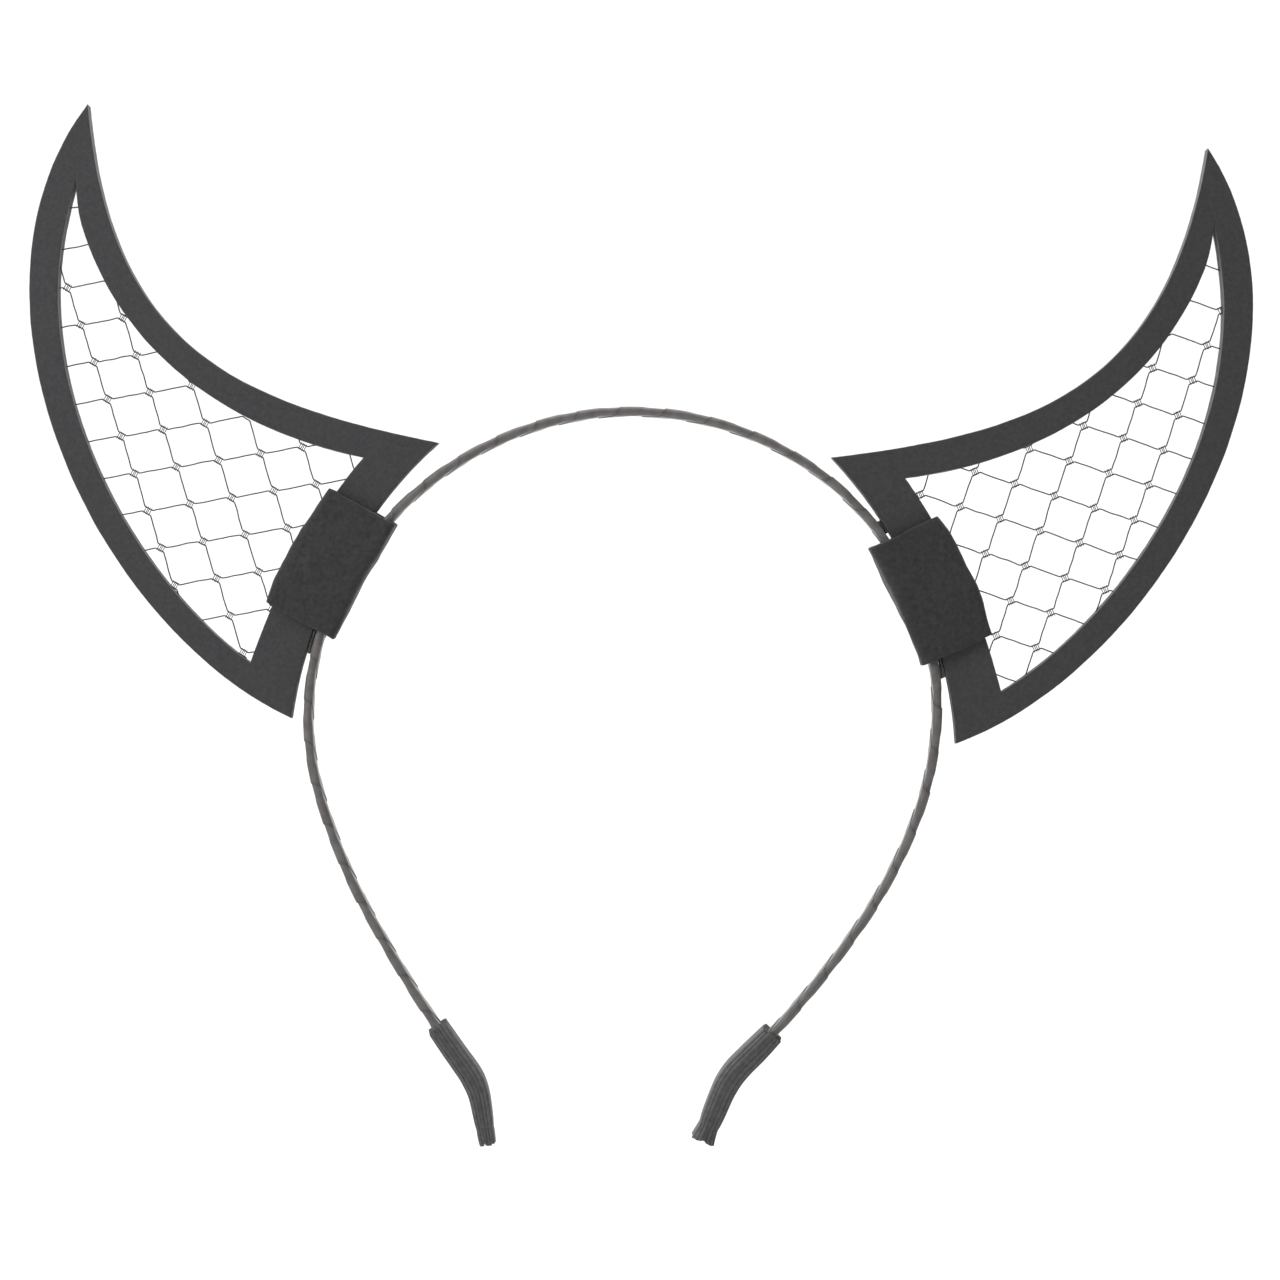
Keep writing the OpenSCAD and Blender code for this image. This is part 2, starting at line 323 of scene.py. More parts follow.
class Band:
    """The band's middle line, read by the distance from its left tip."""

    def __init__(self):
        order = ("left_leg", "left_shoulder", "crown", "right_shoulder", "right_leg")
        points = np.vstack([strip_middle(f"{name}_core") for name in order])
        self.points = along(finer(points), np.linspace(0, 1, BAND_POINTS))
        self.at = lengths(self.points)
        self.length = self.at[-1]
        self.tangents = unit(np.gradient(self.points, self.at, axis=0))

    def read(self, table, distance):
        """The values of a table at a distance along the line."""
        return np.stack([np.interp(distance, self.at, table[:, k]) for k in range(2)], axis=-1)

    def place(self, distance, out=0, back=0):
        """Points beside the line, in the row frame."""
        beyond = np.asarray(distance) - np.clip(distance, 0, self.length)
        tangent = self.read(self.tangents, distance)
        middle = self.read(self.points, distance) + tangent * beyond[..., None]
        x = middle[..., 0] - tangent[..., 1] * out
        z = middle[..., 1] + tangent[..., 0] * out
        return np.stack([x, np.broadcast_to(back, x.shape), z], axis=-1)

    def nearest(self, x, z):
        """The distance along the line that is nearest to a point."""
        return self.at[np.argmin(np.linalg.norm(self.points - [x, z], axis=1))]


# ---- Meshes ----


def added(name, data):
    """An object in the scene that shows a mesh, a light or a camera."""
    thing = bpy.data.objects.new(name, data)
    bpy.context.scene.collection.objects.link(thing)
    return thing


def piece_of(name, points, faces, material, sharp=45):
    """A mesh object with smooth shading apart from its sharp edges, of more than sharp degrees."""
    mesh = bpy.data.meshes.new(name)
    mesh.from_pydata([tuple(p) for p in points], [], faces)
    shell = bmesh.new()
    shell.from_mesh(mesh)
    bmesh.ops.recalc_face_normals(shell, faces=shell.faces)
    shell.to_mesh(mesh)
    shell.free()
    mesh.shade_smooth()
    mesh.set_sharp_from_angle(angle=math.radians(sharp))
    mesh.materials.append(material)
    return added(name, mesh)


def ring_faces(rows, around, closed):
    """Faces between rows of points that each go round a section. Open ends are capped."""
    faces = []
    for i in range(rows if closed else rows - 1):
        a, b = i * around, (i + 1) % rows * around
        for j in range(around):
            k = (j + 1) % around
            faces.append((a + j, a + k, b + k, b + j))
    if not closed:
        faces.append(tuple(range(around)))
        faces.append(tuple(range((rows - 1) * around, rows * around)))
    return faces


def ring_piece(name, grid, material, closed=False, sharp=45, tone=None):
    """A piece from a grid of points: rows along it, each row once round its section. tone is
    how light each point is, from 0 to 1, for a material that is toned."""
    rows, around = grid.shape[:2]
    piece = piece_of(name, grid.reshape(-1, 3), ring_faces(rows, around, closed), material, sharp)
    if tone is not None:
        shade = piece.data.attributes.new("tone", "FLOAT", "POINT")
        shade.data.foreach_set("value", np.broadcast_to(tone, (rows, around)).ravel())
    return piece


def slab_section(depth, rounding, across, steps=4):
    """The section of a flat strip with rounded edges, as arrays of share of its width, shift
    along its width and depth below its face."""
    bend = np.linspace(0, math.pi / 2, steps + 1)
    flat = np.arange(1, across) / across
    near = [(0, rounding * (1 - math.cos(a)), rounding * (1 - math.sin(a))) for a in bend]
    face = [(f, rounding * (1 - 2 * f), 0) for f in flat]
    far = [(1, -shift, d) for _, shift, d in reversed(near)]
    front = near + face + far
    back = [(share, shift, depth - d) for share, shift, d in reversed(front)]
    return np.array(front + back).T


def round_section(half_out, half_back, radius, per_corner=5, per_side=6):
    """Points round a rounded rectangle and their outward directions, as (out, back), from the
    middle of its back edge on."""
    def corner(out, back, start):
        angles = [start - math.pi / 2 * k / per_corner for k in range(per_corner + 1)]
        centre = np.array([out * (half_out - radius), back * (half_back - radius)])
        normals = [np.array([math.cos(a), math.sin(a)]) for a in angles]
        return [(centre + radius * n, n) for n in normals]

    def side(a, b):
        shares = np.arange(1, per_side) / per_side
        return [(a[0] * (1 - s) + b[0] * s, a[1]) for s in shares]

    outer = [*corner(1, 1, math.pi / 2), *corner(1, -1, 0)]
    outer[per_corner + 1 : per_corner + 1] = side(outer[per_corner], outer[per_corner + 1])
    middle = (np.array([0, half_back]), np.array([0.0, 1.0]))
    half = [middle, *outer]
    other = [(-p, -n) for p, n in half]
    points, normals = zip(*half, *other)
    return np.array(points), np.array(normals)


def round_shares(points):
    """How far round a closed section each point is, from 0 to nearly 1, and the way round it."""
    at = lengths(np.vstack([points, points[:1]]))
    return at[:-1] / at[-1], at[-1]


def roughened(points, amount, size, seed=0):
    """Points moved a little each way by noise."""
    offset = Vector((seed * 7.3, seed * 3.1, seed * 5.7))
    flat = points.reshape(-1, 3)
    moved = [noise.noise_vector(Vector(p) / size + offset) for p in flat]
    return points + amount * np.array(moved).reshape(points.shape)


def waves(places, row, level):
    """Noise at places on a line, about one wave to a unit. row and level choose the line."""
    return np.array([noise.noise(Vector((place, row, level))) for place in places])


def warp(x, z):
    """How far the flat horns wander to the back and front."""
    places = np.stack([x, z], axis=-1).reshape(-1, 2) / UNDULATION_SIZE
    wander = [noise.noise(Vector((a, 4.2, b))) for a, b in places]
    return UNDULATION * np.array(wander).reshape(np.shape(x))


def tube(points, radius, sides=6):
    """Points and faces of a round thread along points, with closed ends."""
    points = np.asarray(points)
    course = unit(np.gradient(points, axis=0))
    beside = unit(np.cross(course, [0, 1, 0]))
    above = np.cross(beside, course)
    angles = np.arange(sides) * 2 * math.pi / sides
    rings = (
        points[:, None]
        + radius * np.cos(angles)[None, :, None] * beside[:, None]
        + radius * np.sin(angles)[None, :, None] * above[:, None]
    )
    return rings.reshape(-1, 3), ring_faces(len(points), sides, closed=False)


# ---- Materials ----


def new_material(name, **constants):
    """A material with its shader's constant values set."""
    material = bpy.data.materials.new(name)
    material.use_nodes = True
    shader = material.node_tree.nodes["Principled BSDF"]
    for key, value in constants.items():
        shader.inputs[key.replace("_", " ")].default_value = value
    return material


def noise_of(material, per_mm, detail=3.0, stretch=(1, 1, 1)):
    """A noise texture's value at a real scale."""
    tree = material.node_tree
    where = tree.nodes.new("ShaderNodeTexCoord")
    scaled = tree.nodes.new("ShaderNodeMapping")
    scaled.inputs["Scale"].default_value = [per_mm / MM * s for s in stretch]
    texture = tree.nodes.new("ShaderNodeTexNoise")
    texture.inputs["Scale"].default_value = 1
    texture.inputs["Detail"].default_value = detail
    tree.links.new(where.outputs["Object"], scaled.inputs["Vector"])
    tree.links.new(scaled.outputs["Vector"], texture.inputs["Vector"])
    return texture.outputs["Fac"]


def colour_by(material, value, dark, light, low=0.35, high=0.65):
    """Colours the surface from dark to light as a value goes from low to high."""
    tree = material.node_tree
    ramp = tree.nodes.new("ShaderNodeValToRGB")
    ramp.color_ramp.elements[0].position = low
    ramp.color_ramp.elements[0].color = (*dark, 1)
    ramp.color_ramp.elements[1].position = high
    ramp.color_ramp.elements[1].color = (*light, 1)
    tree.links.new(value, ramp.inputs["Fac"])
    tree.links.new(ramp.outputs["Color"], tree.nodes["Principled BSDF"].inputs["Base Color"])


def toned(material, shade):
    """Darkens the colour where the mesh's tone is low: painted shade in the sleeves' rib grooves and along the
    ribbon's raised edges, and the sleeves' duller unrubbed sides.
    """
    tree = material.node_tree
    colour = tree.nodes["Principled BSDF"].inputs["Base Color"]
    tone = tree.nodes.new("ShaderNodeAttribute")
    tone.attribute_name = "tone"
    mix = tree.nodes.new("ShaderNodeMix")
    mix.data_type = "RGBA"
    mix.inputs["A"].default_value = (*shade, 1)
    tree.links.new(tone.outputs["Fac"], mix.inputs["Factor"])
    tree.links.new(colour.links[0].from_socket, mix.inputs["B"])
    tree.links.new(mix.outputs["Result"], colour)


def relief(material, value, depth, strength=1.0):
    """Adds a bump, on top of any that is there."""
    tree = material.node_tree
    shader = tree.nodes["Principled BSDF"]
    bump = tree.nodes.new("ShaderNodeBump")
    bump.inputs["Distance"].default_value = depth
    bump.inputs["Strength"].default_value = strength
    tree.links.new(value, bump.inputs["Height"])
    if shader.inputs["Normal"].links:
        tree.links.new(shader.inputs["Normal"].links[0].from_socket, bump.inputs["Normal"])
    tree.links.new(bump.outputs["Normal"], shader.inputs["Normal"])


def rough_by(material, value, low, high):
    """Roughness from low to high as a value goes from 0.3 to 0.7."""
    tree = material.node_tree
    spread = tree.nodes.new("ShaderNodeMapRange")
    spread.inputs["From Min"].default_value = 0.3
    spread.inputs["From Max"].default_value = 0.7
    spread.inputs["To Min"].default_value = low
    spread.inputs["To Max"].default_value = high
    tree.links.new(value, spread.inputs["Value"])
    tree.links.new(spread.outputs["Result"], tree.nodes["Principled BSDF"].inputs["Roughness"])


def foam_material():
    """Matte charcoal craft foam with a fine suede nap."""
    made = new_material("charcoal_foam", Sheen_Weight=0.25, Sheen_Roughness=0.6, Specular_IOR_Level=0.3)
    colour_by(made, noise_of(made, 1.6, 5), (0.035, 0.035, 0.037), (0.045, 0.045, 0.048))
    rough_by(made, noise_of(made, 1.4), 0.82, 0.98)
    relief(made, noise_of(made, 5, 2), 0.03 * MM, 0.7)
    relief(made, noise_of(made, 1.7, 4), 0.07 * MM, 0.6)
    return made


def strap_material():
    """The same foam, cut thinner, pressed and mottled by handling."""
    made = new_material("strap_foam", Sheen_Weight=0.12, Sheen_Roughness=0.5, Specular_IOR_Level=0.35)
    colour_by(made, noise_of(made, 1.3, 5), (0.025, 0.025, 0.025), (0.036, 0.036, 0.036))
    rough_by(made, noise_of(made, 0.8), 0.7, 0.95)
    relief(made, noise_of(made, 4, 2), 0.03 * MM, 0.6)
    relief(made, noise_of(made, 0.9, 3), 0.12 * MM, 0.6)
    return made


def ribbon_material():
    """Warm grey polyester ribbon with a low sheen and a fine lengthwise grain."""
    made = new_material("grey_ribbon", Sheen_Weight=0.5, Sheen_Roughness=0.3, Specular_IOR_Level=0.45)
    colour_by(made, noise_of(made, 0.45, 4), (0.102, 0.095, 0.091), (0.146, 0.138, 0.133))
    # painted shade along the edge of each turn that lies over the last one
    toned(made, (0.035, 0.032, 0.031))
    rough_by(made, noise_of(made, 1.2), 0.42, 0.62)
    relief(made, noise_of(made, 4.5, 2, (1, 0.12, 1)), 0.03 * MM, 0.5)
    relief(made, noise_of(made, 0.8, 3), 0.08 * MM, 0.5)
    return made


def sleeve_material():
    """Dark ribbed braid, with painted shade in the grooves between its ribs, and lighter where its ribs are
    rubbed.
    """
    made = new_material("ribbed_sleeve", Sheen_Weight=0.2, Sheen_Roughness=0.5, Specular_IOR_Level=0.35)
    colour_by(made, noise_of(made, 1.1, 5), (0.08, 0.078, 0.079), (0.118, 0.115, 0.117))
    # painted shade in the rib grooves, and a duller tone away from the rubbed front of the head side
    toned(made, (0.03, 0.029, 0.03))
    rough_by(made, noise_of(made, 0.8), 0.65, 0.9)
    relief(made, noise_of(made, 3.5, 2, (1, 1, 3)), 0.05 * MM, 0.7)
    return made


def netting_material():
    """Black-brown nylon thread with a slight gloss on its slubs."""
    made = new_material("veil_thread", Specular_IOR_Level=0.45)
    colour_by(made, noise_of(made, 0.9, 3), (0.024, 0.02, 0.018), (0.05, 0.042, 0.038))
    rough_by(made, noise_of(made, 2), 0.45, 0.75)
    relief(made, noise_of(made, 9, 2), 0.02 * MM, 0.6)
    return made


def steel_material():
    """Cold-rolled spring strip with fine rolling marks and a bluish oxide."""
    made = new_material("spring_steel", Metallic=1.0)
    colour_by(made, noise_of(made, 0.3, 3), (0.5, 0.51, 0.53), (0.64, 0.65, 0.67))
    rough_by(made, noise_of(made, 2.5, 2, (0.1, 1, 0.1)), 0.26, 0.42)
    return made


def glue_material():
    """Hot-melt glue, its dark grey colour painted shade of the foam and band it is squeezed between, with a wet
    gloss.
    """
    made = new_material("hot_glue", Transmission_Weight=0.3, IOR=1.48, Specular_IOR_Level=0.7)
    # dark grey: painted shade of the foam and band round the bead
    colour_by(made, noise_of(made, 0.5, 2), (0.05, 0.05, 0.048), (0.11, 0.108, 0.1))
    rough_by(made, noise_of(made, 0.7, 2), 0.05, 0.2)
    relief(made, noise_of(made, 0.8, 2), 0.1 * MM, 0.5)
    return made


def paper_material():
    """Seamless white studio paper."""
    made = new_material("studio_paper", Specular_IOR_Level=0.2, Roughness=0.9)
    colour_by(made, noise_of(made, 0.002, 2), (0.86, 0.86, 0.86), (0.88, 0.88, 0.88))
    return made


# ---- The horns ----


class Horn:
    """One horn's outlines and its own directions, out from the head and towards the crown."""

    def __init__(self, side):
        mount = next(m for m in frame["record"]["mounts"] if m["name"] == f"{side}_strap_back")
        self.side = side
        self.body = f"{side}_shoulder"
        self.out = unit(np.array([mount["pos_m"][0], mount["pos_m"][2]]))
        self.crownward = -np.sign(self.out[0]) * np.array([self.out[1], -self.out[0]])
        outer, window = front_outlines(f"{side}_horn_front")
        self.outer = horn_ring(outer)
        self.window = horn_ring(window)

    def between(self, part):
        """A closed outline part of the way from the window's edge, 0, to the horn's, 1."""
        return self.window + part * (self.outer - self.window)

    def place(self, crownward, out):
        """(x, z) of places given in the horn's own directions."""
        crownward, out = np.asarray(crownward)[..., None], np.asarray(out)[..., None]
        return crownward * self.crownward + out * self.out

    def own(self, points):
        """(crownward, out) of (x, z) places."""
        return np.column_stack([points @ self.crownward, points @ self.out])


def foam_sheet(horn, layer, material):
    """One of a horn's two die-cut sheets: a soft-edged border round the window."""
    node = f"{horn.side}_horn_{layer}"
    low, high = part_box(node)
    face = low.y - (PRESSED if layer == "back" else 0)
    share, shift, depth = slab_section(high.y - low.y + PRESSED, SHEET_ROUNDING, SHEET_ACROSS)
    reach = horn.outer - horn.window
    width = np.linalg.norm(reach, axis=1)
    direction = reach / width[:, None]
    from_tip = np.linalg.norm(horn.window - horn.window[0], axis=1)
    cut = OVERCUT * np.clip(1 - from_tip / OVERCUT_W, 0, 1) ** 2
    across = cut[:, None] + share * (width - cut)[:, None] + shift
    flat = horn.window[:, None] + direction[:, None] * across[..., None]
    y = face + depth + warp(flat[..., 0], flat[..., 1])
    grid = np.stack([flat[..., 0], y, flat[..., 1]], axis=-1)
    for n, (amount, size) in enumerate(SHEET_ROUGHNESS):
        grid = roughened(grid, amount * MM, size * MM, seed=len(node) + n)
    piece = ring_piece(f"{node}_foam", grid, material, closed=True)
    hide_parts(node)
    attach(piece, horn.body)
    return piece


def strap_sag(across, outness):
    """How far a strap falls back towards the head at a distance from its middle. outness goes
    from 0 at its inner edge to 1 at its outer one."""
    sag = STRAP_SAG[0] + (STRAP_SAG[1] - STRAP_SAG[0]) * outness
    return sag * MM * (2 * across / STRAP_W) ** 2


def clear_of_strap(horn, points):
    """Which points aren't inside the strap's loop."""
    across, out = (horn.own(points) - np.array(STRAP_SHIFT[horn.side]) * MM).T
    reach = STRAP_HALF[-1][0] * MM - strap_sag(across, 1) - STRAP_T / 2
    return (np.abs(across) > STRAP_W / 2 - NET_TUCK) | (out > reach)


def corners_cut(points, times):
    """A line with its corners rounded by cutting each of them several times."""
    for _ in range(times):
        early = points[:-1] * 0.75 + points[1:] * 0.25
        late = points[:-1] * 0.25 + points[1:] * 0.75
        points = np.stack([early, late], axis=1).reshape(-1, points.shape[1])
    return points


class Lattice:
    """Where a net's knots are. Its threads follow course, and their rails lie aside of it."""

    def __init__(self, horn):
        knot, down, across = (horn.place(*(np.array(v) * MM)) for v in NETS[horn.side])
        self.first = horn.window[0] + knot
        self.down = down
        self.across = across
        self.course = unit(down + across)
        self.aside = np.array([-self.course[1], self.course[0]])
        self.aside *= np.sign(self.aside @ (across - down))

    def knot(self, i, j):
        """The middle of a knot, i steps down and j steps across from the first."""
        return self.first + i * self.down + j * self.across

    def thread(self, knots):
        """The points of one thread, which passes the knots on alternate sides."""
        rails = []
        for n, knot in enumerate(knots):
            side = 1 if n % 2 == 0 else -1
            middle = knot + self.aside * side * RAIL_GAP / 2
            inner = knot + self.aside * side * RAIL_GAP * RAIL_ENDS
            half = self.course * RAIL_L / 2
            rails.append((inner - half, middle, inner + half))
        points = [rails[0][1]]
        for before, after in zip(rails, rails[1:]):
            start, end = before[2], after[0]
            lead = unit(end - start) * RAIL_LEAD
            points += [start, start + lead, (start + end) / 2, end - lead, end, after[1]]
        return corners_cut(np.array(points), 3)


class Threads:
    """Round threads in a horn's middle plane, gathered into one mesh."""

    def __init__(self):
        self.points = []
        self.faces = []

    def add(self, line, radius, lift=0.0, sides=6):
        """Adds a thread along (x, z) points, lifted a little to the back."""
        level = warp(line[:, 0], line[:, 1]) + lift
        points, faces = tube(np.column_stack([line[:, 0], level, line[:, 1]]), radius, sides)
        base = sum(len(p) for p in self.points)
        self.points.append(points)
        self.faces.extend(tuple(base + i for i in face) for face in faces)


def net_runs(points, keep):
    """The stretches of a thread that are kept."""
    runs, run = [], []
    for point, kept in zip(points, keep):
        if kept:
            run.append(point)
        elif run:
            runs.append(run)
            run = []
    runs.append(run)
    return [np.array(r) for r in runs if len(r) > 3]


def lay_threads(threads, horn, lattice):
    """Lays the long threads, which step from knot to knot like stairs."""
    edge = horn.between(NET_HOLD)
    for stair in range(-NET_REACH, NET_REACH + 1):
        knots = []
        for i in range(-NET_REACH, NET_REACH):
            knots += [lattice.knot(i, i - stair), lattice.knot(i, i - stair + 1)]
        line = lattice.thread(knots)
        places = [Vector((x, 0, z)) / THREAD_WAVE_SIZE for x, z in line]
        wave = np.array([noise.noise_vector(place) for place in places])
        line = line + THREAD_WAVE * wave[:, [0, 2]]
        keep = inside(line, edge) & clear_of_strap(horn, line)
        for run in net_runs(line, keep):
            threads.add(run, THREAD_R)


def tie_knots(threads, horn, lattice):
    """Ties the threads with a little ladder of rungs at each knot in the window."""
    edge = horn.between(KNOT_HOLD)
    course, aside = lattice.course, lattice.aside
    for i, j in itertools.product(range(-NET_REACH, NET_REACH), repeat=2):
        centre = lattice.knot(i, j)
        if not (inside(centre[None], edge) & clear_of_strap(horn, centre[None]))[0]:
            continue
        for r in range(RUNGS):
            share = (r + 0.5) / RUNGS - 0.5
            slant = noise.noise(Vector((i * 3.1 + r, j * 1.7, 0.5))) * RUNG_SLANT
            middle = centre + course * RAIL_L * share * RUNG_SPREAD
            shares = np.linspace(-0.5, 0.5, 6)[:, None]
            line = middle + shares * RUNG_L * (aside + course * slant)
            lift = (THREAD_R + RUNG_R) * RUNG_PRESSED * (1 if r % 2 else -1)
            threads.add(line, RUNG_R, lift, sides=5)


def netting(horn, material):
    """Veil netting made of its real threads, tied in pairs at each knot."""
    lattice = Lattice(horn)
    threads = Threads()
    lay_threads(threads, horn, lattice)
    tie_knots(threads, horn, lattice)
    name = f"{horn.side}_veil_netting"
    piece = piece_of(name, np.vstack(threads.points), threads.faces, material, sharp=80)
    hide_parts(f"{horn.side}_netting")
    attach(piece, horn.body)
    return piece


# ---- The straps ----


def rounded_line(corners, radii, steps=6):
    """A line whose corners are rounded, apart from its two ends."""
    line = [corners[0]]
    for before, corner, after, radius in zip(corners, corners[1:], corners[2:], radii[1:]):
        start = corner + unit(before - corner) * radius
        end = corner + unit(after - corner) * radius
        for t in np.linspace(0, 1, steps + 1):
            line.append((1 - t) ** 2 * start + 2 * t * (1 - t) * corner + t**2 * end)
    line.append(corners[-1])
    return np.array(line)


def strap_loop():
    """The strap's outside as (out, back), from one end at the back round to the other."""
    half = np.array(STRAP_HALF) * MM
    seam = half[-1] * [STRAP_SEAM_AT, 1]
    front = half * [1, -1]
    corners = [seam, half[-1], *front[::-1], *half[:-1], seam - [STRAP_SEAM, 0]]
    radii = np.array([0, STRAP_ROUNDING[-1], *STRAP_ROUNDING[::-1], *STRAP_ROUNDING[:-1], 0]) * MM
    return along(rounded_line(corners, radii), np.linspace(0, 1, STRAP_POINTS[0]))


def outward_of(loop):
    """The directions square to a loop's line, away from its middle."""
    course = unit(np.gradient(loop, axis=0))
    outward = np.column_stack([course[:, 1], -course[:, 0]])
    return outward * np.sign(((loop - loop.mean(axis=0)) * outward).sum(axis=1).mean())


def strap(horn, material):
    """A strip of foam bent round the band and the horn's foot, its ends meeting at the back."""
    line = strap_loop()
    outward = outward_of(line)
    share, shift, depth = slab_section(STRAP_T, STRAP_EDGE, STRAP_POINTS[1])
    at = line[:, None] - outward[:, None] * depth[None, :, None]
    across = np.broadcast_to(-STRAP_W / 2 + share * STRAP_W + shift, at.shape[:2])
    innermost, outermost = STRAP_HALF[0][0] * MM, STRAP_HALF[-1][0] * MM
    outness = np.clip((at[..., 0] - innermost) / (outermost - innermost), 0, 1)
    out = at[..., 0] - strap_sag(across, outness)
    shift_crownward, shift_out = np.array(STRAP_SHIFT[horn.side]) * MM
    flat = horn.place(across + shift_crownward, out + shift_out)
    grid = np.stack([flat[..., 0], at[..., 1], flat[..., 1]], axis=-1)
    seed = SIDES.index(horn.side) + 3
    for amount, size in STRAP_ROUGHNESS:
        grid = roughened(grid, amount * MM, size * MM, seed)
    piece = ring_piece(f"{horn.side}_foam_strap", grid, material)
    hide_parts(f"{horn.side}_strap")
    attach(piece, horn.body)
    return piece


# ---- The band ----


def ribbon_layer(share, overlap):
    """How far the ribbon is raised by the turn below it, at a share of its width."""
    fall = np.clip((share - overlap - RIBBON_FALL[0]) / RIBBON_FALL[1], 0, 1)
    return RIBBON_LIFT * RIBBON_T * (1 - fall * fall * (3 - 2 * fall))


def wound_ribbon(name, band, start, end, material):
    """A stretch of the ribbon, wound round the band with each turn over the last one's edge.
    Returns it and the size it was cut to."""
    section, outward = round_section(*(v * MM for v in RIBBON_SECTION))
    around, perimeter = round_shares(section)
    turns = round((end - start) / RIBBON_PITCH)
    pitch = (end - start) / turns
    span = RIBBON_W * math.hypot(pitch, perimeter) / perimeter
    overlap = 1 - pitch / span
    share, _, depth = slab_section(RIBBON_T, RIBBON_EDGE, RIBBON_ACROSS, steps=1)
    step = np.arange(turns * len(section) + 1)
    which = -step % len(section)
    middle = start + pitch * (step // len(section) + (1 - around[which]) % 1)
    drift = RIBBON_DRIFT * waves(middle / RIBBON_DRIFT_SIZE, 1.3, 0.7)
    distance = (middle + drift)[:, None] + span * (share - 0.5)
    bulge = RIBBON_BULGE * waves(middle / RIBBON_BULGE_SIZE, 8.1, 0.2)
    lift = RIBBON_T + ribbon_layer(share, overlap) - depth + bulge[:, None]
    out = section[which, 0][:, None] + outward[which, 0][:, None] * lift
    back = section[which, 1][:, None] + outward[which, 1][:, None] * lift
    grid = band.place(distance, out, back)
    # Painted shade: darker along the edge of each turn that lies over the last one
    tone = 1 - EDGE_SHADE * np.exp(-((share * span / EDGE_SHADE_W) ** 2))
    piece = ring_piece(name, grid, material, sharp=35, tone=tone)
    return piece, (RIBBON_W, turns * math.hypot(pitch, perimeter))


def steel_strip(name, band, start, end, material):
    """A stretch of the sprung steel strip inside the ribbon, with rolled edges."""
    section, _ = round_section(*(v * MM for v in STEEL_SECTION))
    distance = np.append(np.arange(start, end, STEEL_STEP), end)
    shape = (len(distance), len(section))
    out = np.broadcast_to(section[:, 0], shape)
    back = np.broadcast_to(section[:, 1], shape)
    grid = band.place(np.broadcast_to(distance[:, None], shape), out, back)
    piece = ring_piece(name, grid, material)
    return piece


def joint_place(name):
    """(x, z) of a joint."""
    joint = next(j for j in frame["joints"] if j["name"] == name)
    return joint["pos_m"][0], joint["pos_m"][2]


def bend_band(piece, band, side, where):
    """Finds the stretch of band round a flex between two bodies and bakes a piece's placement into its mesh; the
    piece isn't bent.
    """
    flex = band.nearest(*joint_place(f"{side}_{where}_flex"))
    outward = 1 if side == "right" else -1
    start = band.place(flex - outward * BENDS[where])
    end = band.place(flex + outward * BENDS[where])
    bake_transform(piece)


def band_pieces(band, ribbon, steel):
    """The ribbon and the steel in four stretches, one for each flex, joined out of sight in the
    straps and end to end at the crown."""
    crown = band.nearest(0, cad_high.z)
    for side in SIDES:
        low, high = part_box(f"{side}_strap")
        in_strap = band.nearest((low.x + high.x) / 2, (low.z + high.z) / 2)
        tip = 0 if side == "left" else band.length
        inward = 1 if side == "left" else -1
        wound_to = tip + inward * RIBBON_W * RIBBON_TUCK
        shoulder = f"{side}_shoulder"
        for where, ends, first, second, nodes in (
            ("crown", (in_strap, crown), "crown", shoulder, ("crown", shoulder)),
            ("leg", (in_strap, wound_to), shoulder, f"{side}_leg", (f"{side}_leg",)),
        ):
            start, end = sorted(ends)
            name = f"{side}_{where}_winding"
            winding, cut = wound_ribbon(name, band, start, end, ribbon)
            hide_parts(*(f"{n}_ribbon" for n in nodes))
            bend_band(winding, band, side, where)
            strip_ends = sorted((ends[0], tip if where == "leg" else crown))
            strip = steel_strip(f"{side}_{where}_steel", band, *strip_ends, steel)
            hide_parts(*(f"{n}_core" for n in nodes))
            bend_band(strip, band, side, where)


